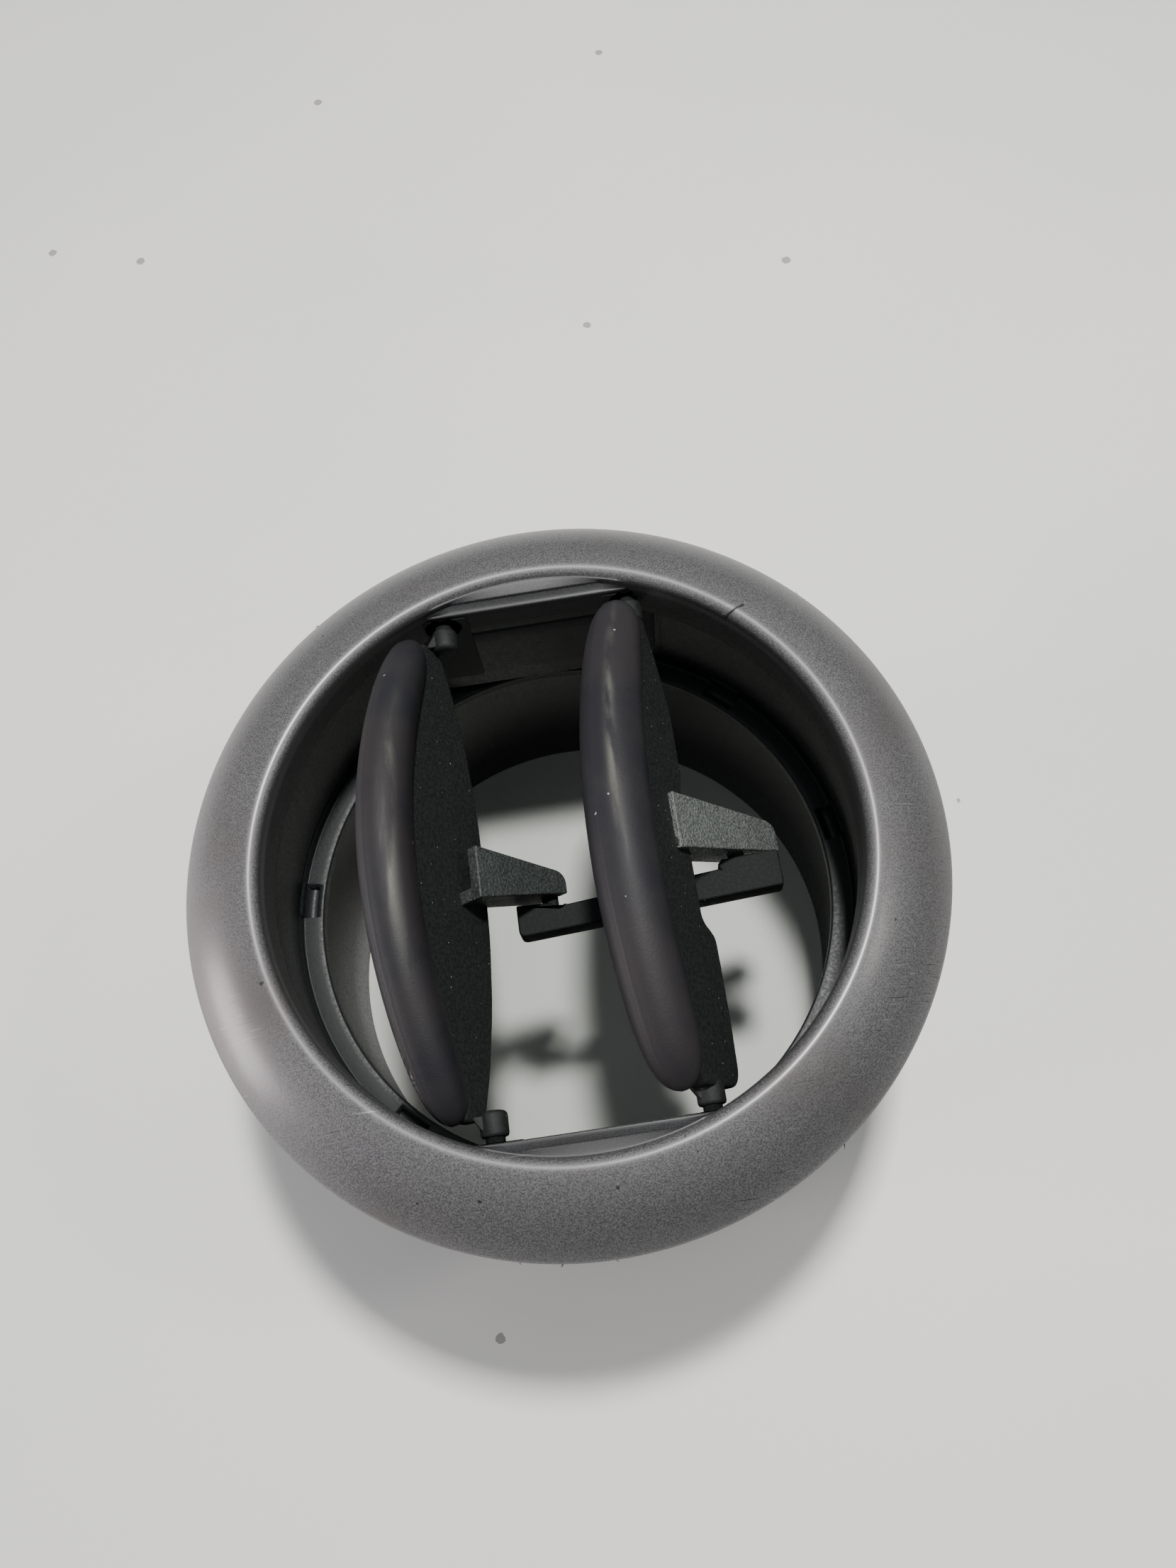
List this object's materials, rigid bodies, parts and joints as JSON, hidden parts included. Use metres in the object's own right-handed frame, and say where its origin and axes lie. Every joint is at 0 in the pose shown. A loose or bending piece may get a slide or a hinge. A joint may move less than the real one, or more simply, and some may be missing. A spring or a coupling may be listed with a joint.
{
  "type": "round dashboard air vent",
  "caption": "Round car air vent: flared painted bezel on a black housing, tapered rear sleeve, and soft-covered vanes that a link bar tilts together.",
  "frame": {"origin": "centre of the rear rim of the sleeve, on the vent's centre line, at the base when it stands on that rim", "axes": "+Z out of the vent towards the cabin, +X across the vanes, +Y along the vanes' pivots"},
  "size_m": [0.1, 0.1, 0.0736],
  "materials": {
    "silver_paint": "satin metallic silver-grey paint on plastic",
    "black_plastic": "fine matt as-moulded black plastic",
    "soft_cover": "soft-touch charcoal, worn slightly shiny",
    "bush_rubber": "dull black rubber"
  },
  "bodies": {
    "housing": {"bezel_ring": "silver_paint", "vane_housing": "black_plastic", "rear_sleeve": "black_plastic", "pivot_bearing_left_top": "black_plastic", "pivot_bearing_left_bottom": "black_plastic", "pivot_bearing_right_top": "black_plastic", "pivot_bearing_right_bottom": "black_plastic", "pivot_bush_left_top": "bush_rubber", "pivot_bush_left_bottom": "bush_rubber", "pivot_bush_right_top": "bush_rubber", "pivot_bush_right_bottom": "bush_rubber"},
    "vane_left": {"vane_core_left": "black_plastic", "vane_cover_left": "soft_cover"},
    "vane_right": {"vane_core_right": "black_plastic", "vane_cover_right": "soft_cover"},
    "link": {"link_bar": "black_plastic"}
  },
  "joints": [
    {"name": "vane_left_tilt", "type": "hinge", "parent": "housing", "child": "vane_left", "pos_m": [-0.0122, 0, 0.0582], "axis": [0, 1, 0], "range_deg": [-12, 68]},
    {"name": "vane_right_tilt", "type": "hinge", "parent": "housing", "child": "vane_right", "pos_m": [0.014, 0, 0.0582], "axis": [0, 1, 0], "range_deg": [-12, 68]},
    {"name": "link_swing", "type": "hinge", "parent": "vane_left", "child": "link", "pos_m": [-0.0029, 0, 0.047], "axis": [0, 1, 0], "range_deg": [-75, 19]}
  ],
  "couplings": [
    {"joint": "vane_right_tilt", "follows": "vane_left_tilt", "ratio": 1},
    {"joint": "link_swing", "follows": "vane_left_tilt", "ratio": -1}
  ]
}
